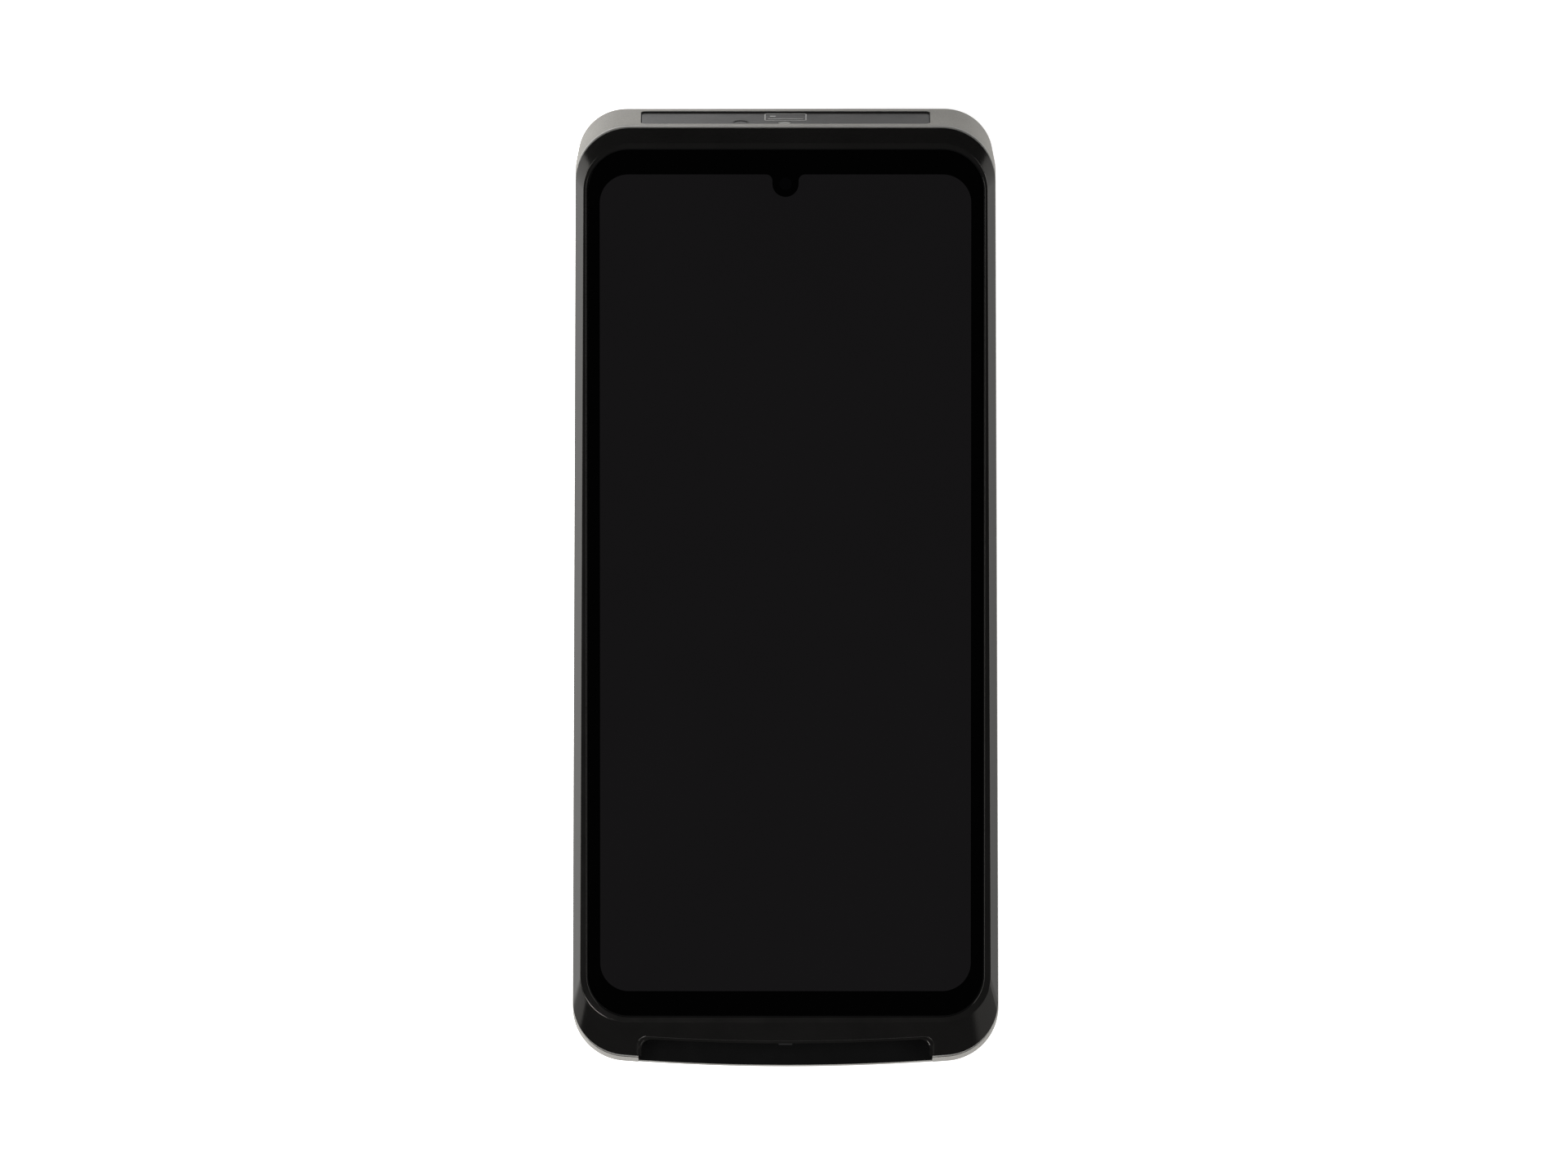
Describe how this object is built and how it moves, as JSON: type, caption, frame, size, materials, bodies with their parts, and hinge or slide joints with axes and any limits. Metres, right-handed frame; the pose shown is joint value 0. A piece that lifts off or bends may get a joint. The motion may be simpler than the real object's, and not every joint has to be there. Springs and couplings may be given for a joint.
{
  "type": "handheld payment terminal",
  "caption": "Phone-shaped handheld payment terminal with a full-face screen, a card slot in a thumb scoop at the bottom, a scan window in the top face and side keys.",
  "frame": {"origin": "on the back plane, under the middle of the outline, with the terminal lying on its back", "axes": "+Z out of the screen, +Y towards the top end with the scan window, +X to the right as the screen is read"},
  "size_m": [0.08, 0.1808, 0.018],
  "materials": {
    "front_frame": "gloss black moulding",
    "metal_ring": "fine satin, bead blasted",
    "housing_paint": "warm grey metallic satin paint",
    "cover_texture": "fine spark-eroded texture",
    "foam": "matt black closed-cell foam",
    "screen_glass": "polished, black print behind",
    "display": "dark panel, switched off",
    "panel_glass": "clear",
    "white_film": "matt white film",
    "black_plastic": "fine matt",
    "lens_glass": "coated lens",
    "tinted_window": "smoke tinted, polished",
    "print_white": "screen print",
    "led": "diffuse resin",
    "copper": "etched copper",
    "ferrite": "dark sheet",
    "gold_contact": "gold plated",
    "board_green": "solder mask",
    "board_blue": "solder mask",
    "chip_epoxy": "moulded epoxy",
    "tin_steel": "tinned sheet",
    "flex_amber": "polyimide film",
    "battery_wrap": "satin wrap",
    "key_black": "fine matt",
    "key_orange": "fine matt",
    "screw_steel": "black zinc",
    "motor_steel": "bright",
    "speaker_cloth": "fine woven mesh"
  },
  "bodies": {
    "root": {"front_frame": "front_frame", "mid_frame": "metal_ring", "rear_housing": "housing_paint", "rear_cover": "cover_texture", "frame_gasket": "foam", "housing_gasket": "foam", "cover_glass": "screen_glass", "glass_surround": "black_plastic", "glass_adhesive": "foam", "display_panel": "display", "display_cell": "panel_glass", "backlight": "white_film", "front_camera": "black_plastic", "front_camera_lens": "lens_glass", "top_window": "tinted_window", "window_seal": "foam", "tap_symbol": "print_white", "scan_engine": "black_plastic", "scan_lens": "lens_glass", "scan_led": "led", "nfc_antenna": "copper", "nfc_ferrite": "ferrite", "card_guide": "black_plastic", "card_reader": "black_plastic", "card_contacts": "gold_contact", "card_switch": "black_plastic", "main_board": "board_green", "processor_chips": "chip_epoxy", "rf_shields": "tin_steel", "secure_board": "board_blue", "secure_module": "chip_epoxy", "board_flex": "flex_amber", "battery": "battery_wrap", "battery_lead": "flex_amber", "battery_connector": "white_film", "side_switches": "tin_steel", "key_flex": "flex_amber", "sim_socket": "tin_steel", "usb_port": "tin_steel", "charge_contacts": "gold_contact", "contact_block": "black_plastic", "rear_camera": "black_plastic", "rear_camera_lens": "lens_glass", "flash_led": "led", "camera_window": "screen_glass", "loudspeaker": "black_plastic", "speaker_mesh": "speaker_cloth", "microphone": "tin_steel", "vibration_motor": "motor_steel", "housing_screws": "screw_steel", "board_screws": "screw_steel", "cover_screws": "screw_steel"},
    "power_key": {"power_key": "key_black"},
    "volume_key": {"volume_key": "key_black"},
    "scan_key_left": {"scan_key_left": "key_orange"},
    "scan_key_right": {"scan_key_right": "key_orange"},
    "sim_tray": {"sim_tray": "metal_ring"},
    "vibration_weight": {"vibration_weight": "motor_steel"},
    "card_plunger": {"card_plunger": "key_black"}
  },
  "joints": [
    {"name": "power_key_press", "type": "slide", "parent": "root", "child": "power_key", "axis": [-1, 0, 0], "range_m": [0, 0.00035], "stiffness_N_per_m": 500, "springref_m": -0.0015},
    {"name": "volume_key_rock", "type": "hinge", "parent": "root", "child": "volume_key", "pos_m": [-0.0365, 0.05, 0.0086], "axis": [0, 0, 1], "range_deg": [-1.5, 1.5], "stiffness_Nm_per_rad": 0.05},
    {"name": "scan_key_left_press", "type": "slide", "parent": "root", "child": "scan_key_left", "axis": [1, 0, 0], "range_m": [0, 0.00035], "stiffness_N_per_m": 500, "springref_m": -0.0015},
    {"name": "scan_key_right_press", "type": "slide", "parent": "root", "child": "scan_key_right", "axis": [-1, 0, 0], "range_m": [0, 0.00035], "stiffness_N_per_m": 500, "springref_m": -0.0015},
    {"name": "sim_tray_slide", "type": "slide", "parent": "root", "child": "sim_tray", "axis": [1, 0, 0], "range_m": [0, 0.018]},
    {"name": "vibration_weight_spin", "type": "hinge", "parent": "root", "child": "vibration_weight", "pos_m": [0.012, -0.066, 0.0048], "axis": [1, 0, 0], "continuous": true},
    {"name": "card_plunger_push", "type": "slide", "parent": "root", "child": "card_plunger", "axis": [0, 1, 0], "range_m": [0, 0.0008], "stiffness_N_per_m": 200, "springref_m": -0.001}
  ]
}
